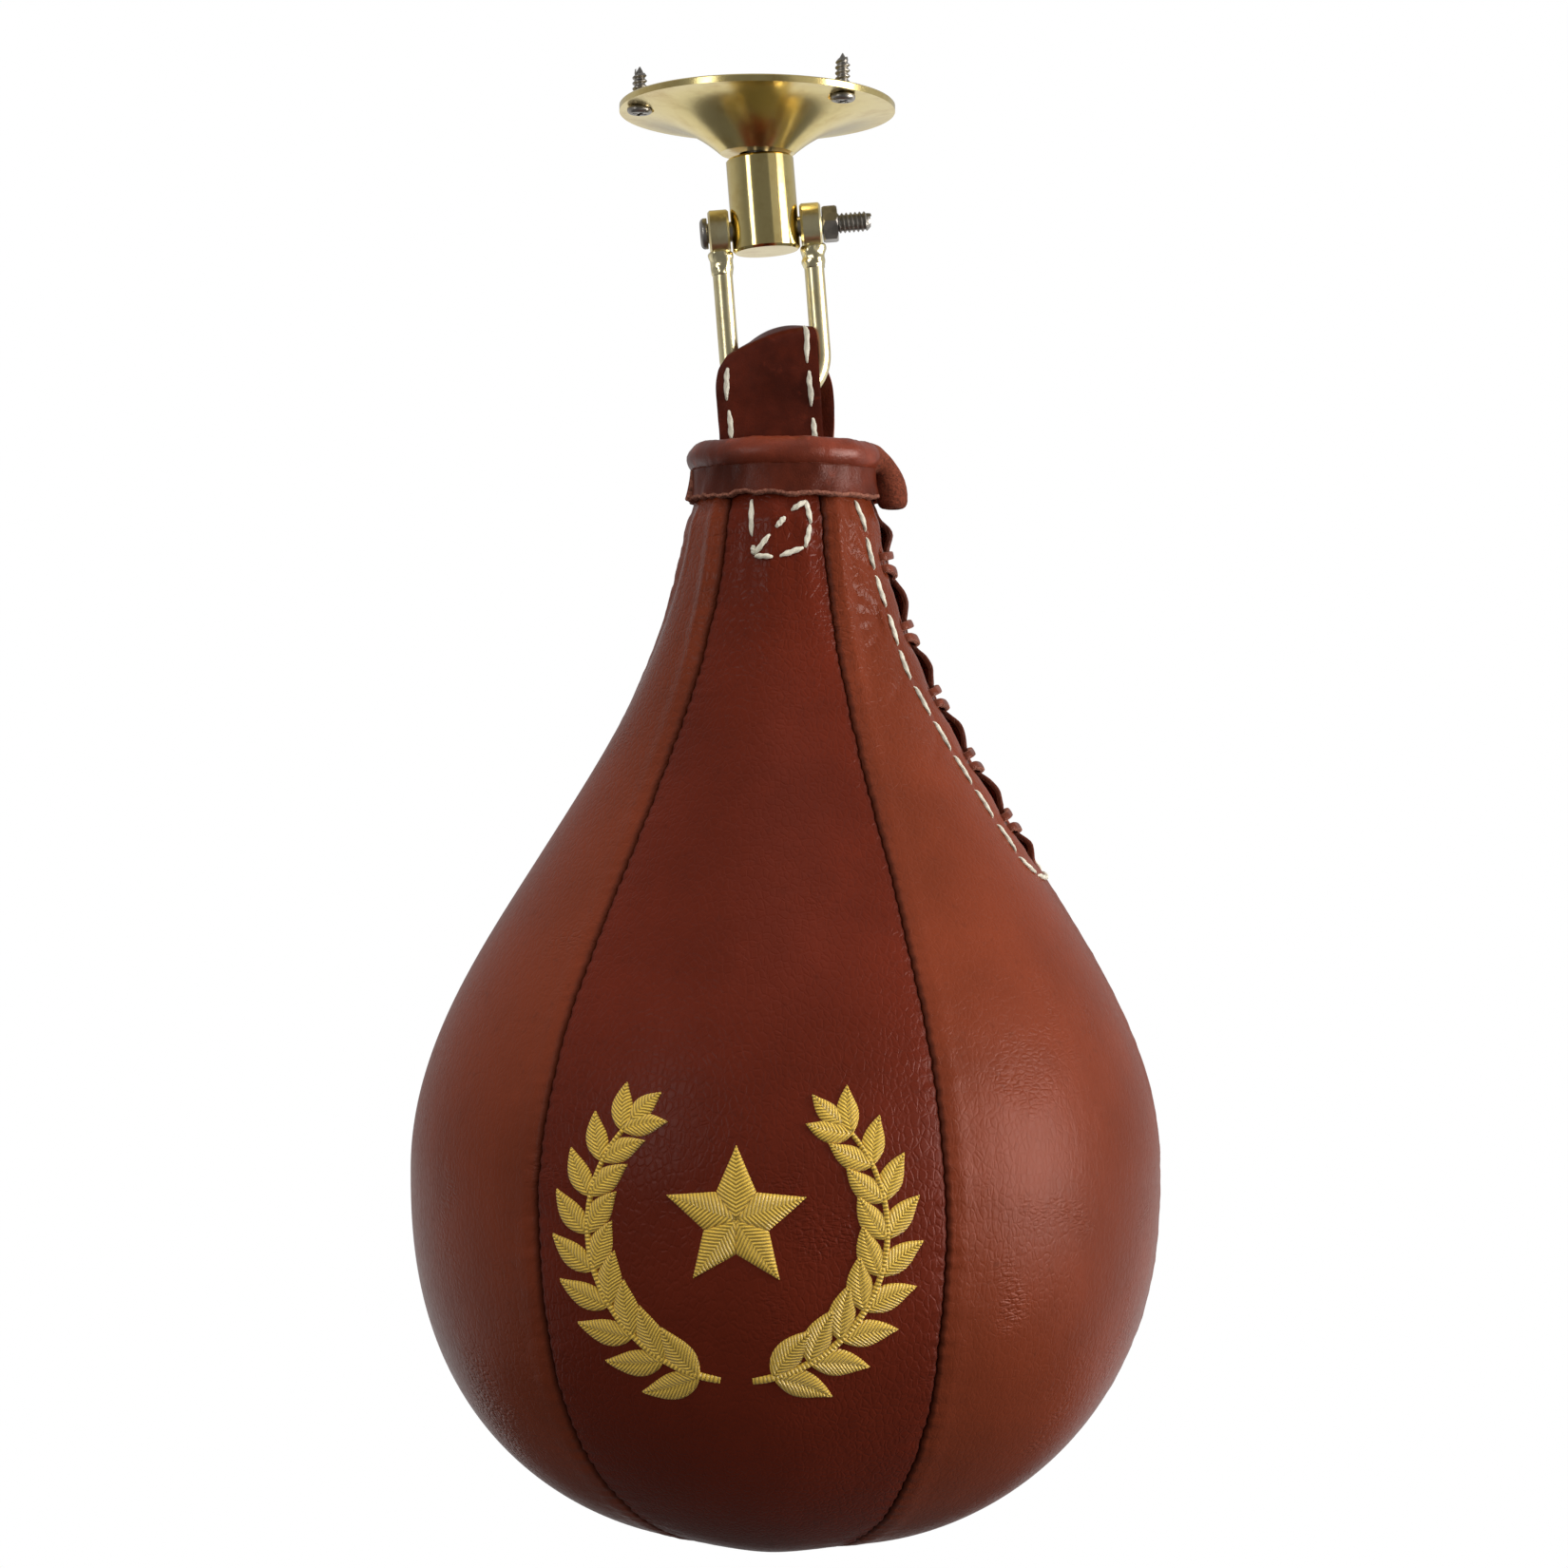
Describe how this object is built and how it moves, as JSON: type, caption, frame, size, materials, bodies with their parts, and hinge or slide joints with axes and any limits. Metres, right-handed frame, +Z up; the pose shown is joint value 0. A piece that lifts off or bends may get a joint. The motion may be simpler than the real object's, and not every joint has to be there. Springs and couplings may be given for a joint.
{
  "type": "speed bag on ball swivel",
  "caption": "Lace-up leather speed bag hanging by its strap loop from the U-shaped bail of a brass ball swivel, whose round flange screws up under a platform.",
  "frame": {"origin": "middle of the flange's top face, on the circle of its screws", "axes": "+Z up out of the flange along the screws, -Y towards the front panel, +X towards the lacing"},
  "size_m": [0.1779, 0.178, 0.3487],
  "materials": {
    "polished_brass": "polished, lightly worn",
    "plated_steel": "zinc plated, dull",
    "panel_leather": "oxblood, fine grain, soft sheen",
    "strap_leather": "dark oxblood, smooth, waxed",
    "raw_leather": "suede back and raw edges",
    "cream_thread": "waxed stitching thread",
    "gold_thread": "embroidery thread",
    "black_rubber": "matt"
  },
  "bodies": {
    "flange": {"mounting_flange": "polished_brass", "flange_screws": "plated_steel"},
    "seat": {"ball_seat": "polished_brass"},
    "barrel": {"ball_stud": "plated_steel", "swivel_barrel": "polished_brass", "pivot_bolt": "plated_steel", "pivot_nut": "plated_steel"},
    "bail": {"bail_rod": "polished_brass", "bail_eye_left": "polished_brass", "bail_eye_right": "polished_brass", "bail_brazing": "polished_brass"},
    "bag": {"panel_front": "panel_leather", "panel_front_right": "panel_leather", "panel_back_right": "panel_leather", "panel_back": "panel_leather", "panel_back_left": "panel_leather", "panel_front_left": "panel_leather", "neck_collar": "strap_leather", "hang_loop": "strap_leather", "lace": "raw_leather", "lace_tongue": "panel_leather", "lace_facing_front": "raw_leather", "lace_facing_back": "raw_leather", "bladder": "black_rubber", "bladder_valve": "black_rubber"}
  },
  "joints": [
    {"name": "swivel_spin", "type": "hinge", "parent": "flange", "child": "seat", "pos_m": [0, 0, -0.0059], "axis": [0, 0, 1], "continuous": true},
    {"name": "ball_tilt", "type": "hinge", "parent": "seat", "child": "barrel", "pos_m": [0, 0, -0.0059], "axis": [0, 1, 0], "range_deg": [-1, 10]},
    {"name": "bail_swing", "type": "hinge", "parent": "barrel", "child": "bail", "pos_m": [0.00187, 0, -0.02963], "axis": [0.9969, 0, 0.0785], "range_deg": [-70, 70]},
    {"name": "loop_swing", "type": "hinge", "parent": "bail", "child": "bag", "pos_m": [0.00425, 0, -0.06113], "axis": [1, 0, 0], "range_deg": [-8, 8]}
  ]
}
